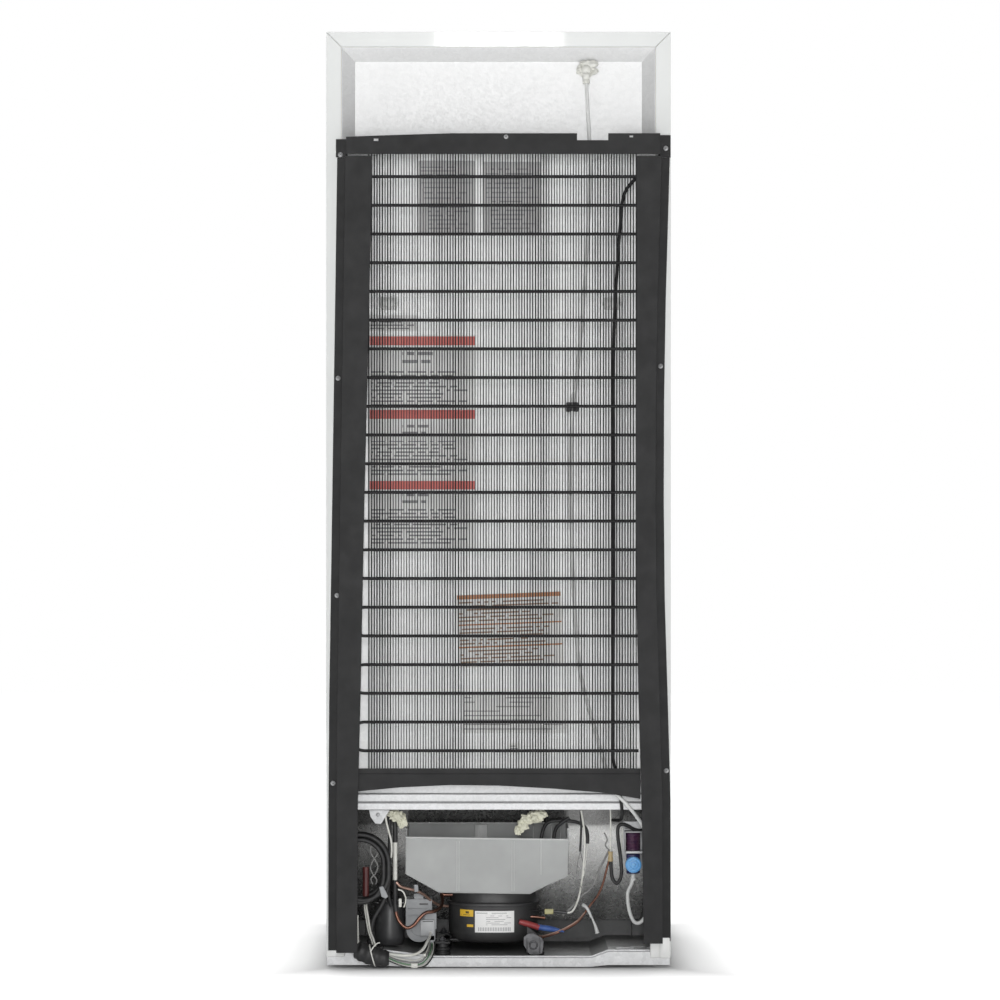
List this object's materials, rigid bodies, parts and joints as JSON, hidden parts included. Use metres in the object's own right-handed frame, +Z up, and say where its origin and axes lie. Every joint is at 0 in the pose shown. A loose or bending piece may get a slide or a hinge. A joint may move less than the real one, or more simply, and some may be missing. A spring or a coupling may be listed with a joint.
{
  "type": "top freezer refrigerator",
  "caption": "Top-mount fridge-freezer with a wire-on-tube condenser on its back and an open machine compartment below it.",
  "frame": {"origin": "on the floor, under the middle of the bounding box", "axes": "+Z up, doors face -Y, condenser faces +Y, +X is the hinge side of the doors"},
  "size_m": [0.6, 0.7, 1.633],
  "materials": {
    "white_paint": "satin",
    "galvanised": "satin",
    "foam": "matte",
    "white_plastic": "satin",
    "frame_paint": "satin",
    "condenser_paint": "satin",
    "zinc_screws": "satin",
    "compressor_paint": "satin",
    "black_rubber": "matte",
    "grey_plastic": "matte",
    "copper": "satin",
    "clear_plastic": "satin",
    "valve_plastic": "satin",
    "cord_rubber": "satin",
    "fins": "satin",
    "fan_plastic": "satin",
    "wire_coating": "gloss",
    "shelf_glass": "polished",
    "lamp_glass": "gloss",
    "gasket_rubber": "matte",
    "foot_plastic": "matte"
  },
  "bodies": {
    "cabinet": {"cabinet_wrapper": "white_paint", "rear_panel": "galvanised", "insulation_foam": "foam", "freezer_liner": "white_plastic", "fridge_liner": "white_plastic", "base_pan": "galvanised", "compartment_shield": "galvanised", "cross_rail": "galvanised", "hinges": "galvanised", "kick_grille": "white_plastic", "condenser_rail_left": "frame_paint", "condenser_rail_right": "frame_paint", "condenser_top_bar": "frame_paint", "condenser_bottom_bar": "frame_paint", "condenser_tube": "condenser_paint", "condenser_wires": "condenser_paint", "frame_screws": "zinc_screws", "riser_tube": "condenser_paint", "compressor": "compressor_paint", "compressor_grommets": "black_rubber", "relay_cover": "grey_plastic", "run_capacitor": "grey_plastic", "filter_drier": "copper", "suction_line": "copper", "drain_pan": "clear_plastic", "water_valve": "valve_plastic", "water_line": "clear_plastic", "cord_boot": "black_rubber", "cord_coil": "cord_rubber", "cord_lead": "cord_rubber", "power_plug": "cord_rubber", "evaporator": "fins", "evaporator_cover": "white_plastic", "fan_motor": "grey_plastic", "freezer_shelf": "wire_coating", "glass_shelves": "shelf_glass", "control_housing": "white_plastic", "lamp": "lamp_glass"},
    "freezer_door_body": {"freezer_door": "white_paint", "freezer_door_foam": "foam", "freezer_door_liner": "white_plastic", "freezer_door_racks": "white_plastic", "freezer_gasket": "gasket_rubber", "freezer_handle": "white_plastic"},
    "fridge_door_body": {"fridge_door": "white_paint", "fridge_door_foam": "foam", "fridge_door_liner": "white_plastic", "fridge_gasket": "gasket_rubber", "fridge_handle": "white_plastic", "door_bins": "clear_plastic"},
    "dairy_lid": {"dairy_cover": "clear_plastic"},
    "crisper": {"crisper_drawer": "clear_plastic"},
    "fan": {"fan_blade": "fan_plastic"},
    "fridge_knob": {"fridge_dial": "fan_plastic"},
    "freezer_knob": {"freezer_dial": "fan_plastic"},
    "switch_plunger": {"door_switch": "white_plastic"},
    "front_wheels": {"front_rollers": "black_rubber"},
    "rear_wheels": {"rear_rollers": "black_rubber"},
    "foot_left": {"levelling_foot_left": "foot_plastic"},
    "foot_right": {"levelling_foot_right": "foot_plastic"}
  },
  "joints": [
    {"name": "freezer_door_hinge", "type": "hinge", "parent": "cabinet", "child": "freezer_door_body", "pos_m": [0.285, -0.286, 1.375], "axis": [0, 0, 1], "range_deg": [0, 130]},
    {"name": "fridge_door_hinge", "type": "hinge", "parent": "cabinet", "child": "fridge_door_body", "pos_m": [0.285, -0.286, 0.59], "axis": [0, 0, 1], "range_deg": [0, 130]},
    {"name": "dairy_lid_hinge", "type": "hinge", "parent": "fridge_door_body", "child": "dairy_lid", "pos_m": [0.12, -0.2535, 0.947], "axis": [1, 0, 0], "range_deg": [0, 80]},
    {"name": "crisper_slide", "type": "slide", "parent": "cabinet", "child": "crisper", "axis": [0, -1, 0], "range_m": [0, 0.074]},
    {"name": "fan_spin", "type": "hinge", "parent": "cabinet", "child": "fan", "pos_m": [0, 0.192, 1.492], "axis": [0, 1, 0], "continuous": true},
    {"name": "fridge_dial_turn", "type": "hinge", "parent": "cabinet", "child": "fridge_knob", "pos_m": [0.062, -0.186, 1.07], "axis": [0, 1, 0], "range_deg": [0, 270]},
    {"name": "freezer_dial_turn", "type": "hinge", "parent": "cabinet", "child": "freezer_knob", "pos_m": [-0.062, -0.186, 1.07], "axis": [0, 1, 0], "range_deg": [0, 270]},
    {"name": "door_switch_press", "type": "slide", "parent": "cabinet", "child": "switch_plunger", "axis": [0, 1, 0], "range_m": [0, 0.006], "stiffness_N_per_m": 250, "springref_m": -0.003},
    {"name": "front_roller_spin", "type": "hinge", "parent": "cabinet", "child": "front_wheels", "pos_m": [0, -0.196, 0.017], "axis": [1, 0, 0], "continuous": true},
    {"name": "rear_roller_spin", "type": "hinge", "parent": "cabinet", "child": "rear_wheels", "pos_m": [0, 0.212, 0.013], "axis": [1, 0, 0], "continuous": true},
    {"name": "foot_left_screw", "type": "slide", "parent": "cabinet", "child": "foot_left", "axis": [0, 0, -1], "range_m": [0, 0.015]},
    {"name": "foot_right_screw", "type": "slide", "parent": "cabinet", "child": "foot_right", "axis": [0, 0, -1], "range_m": [0, 0.015]}
  ]
}
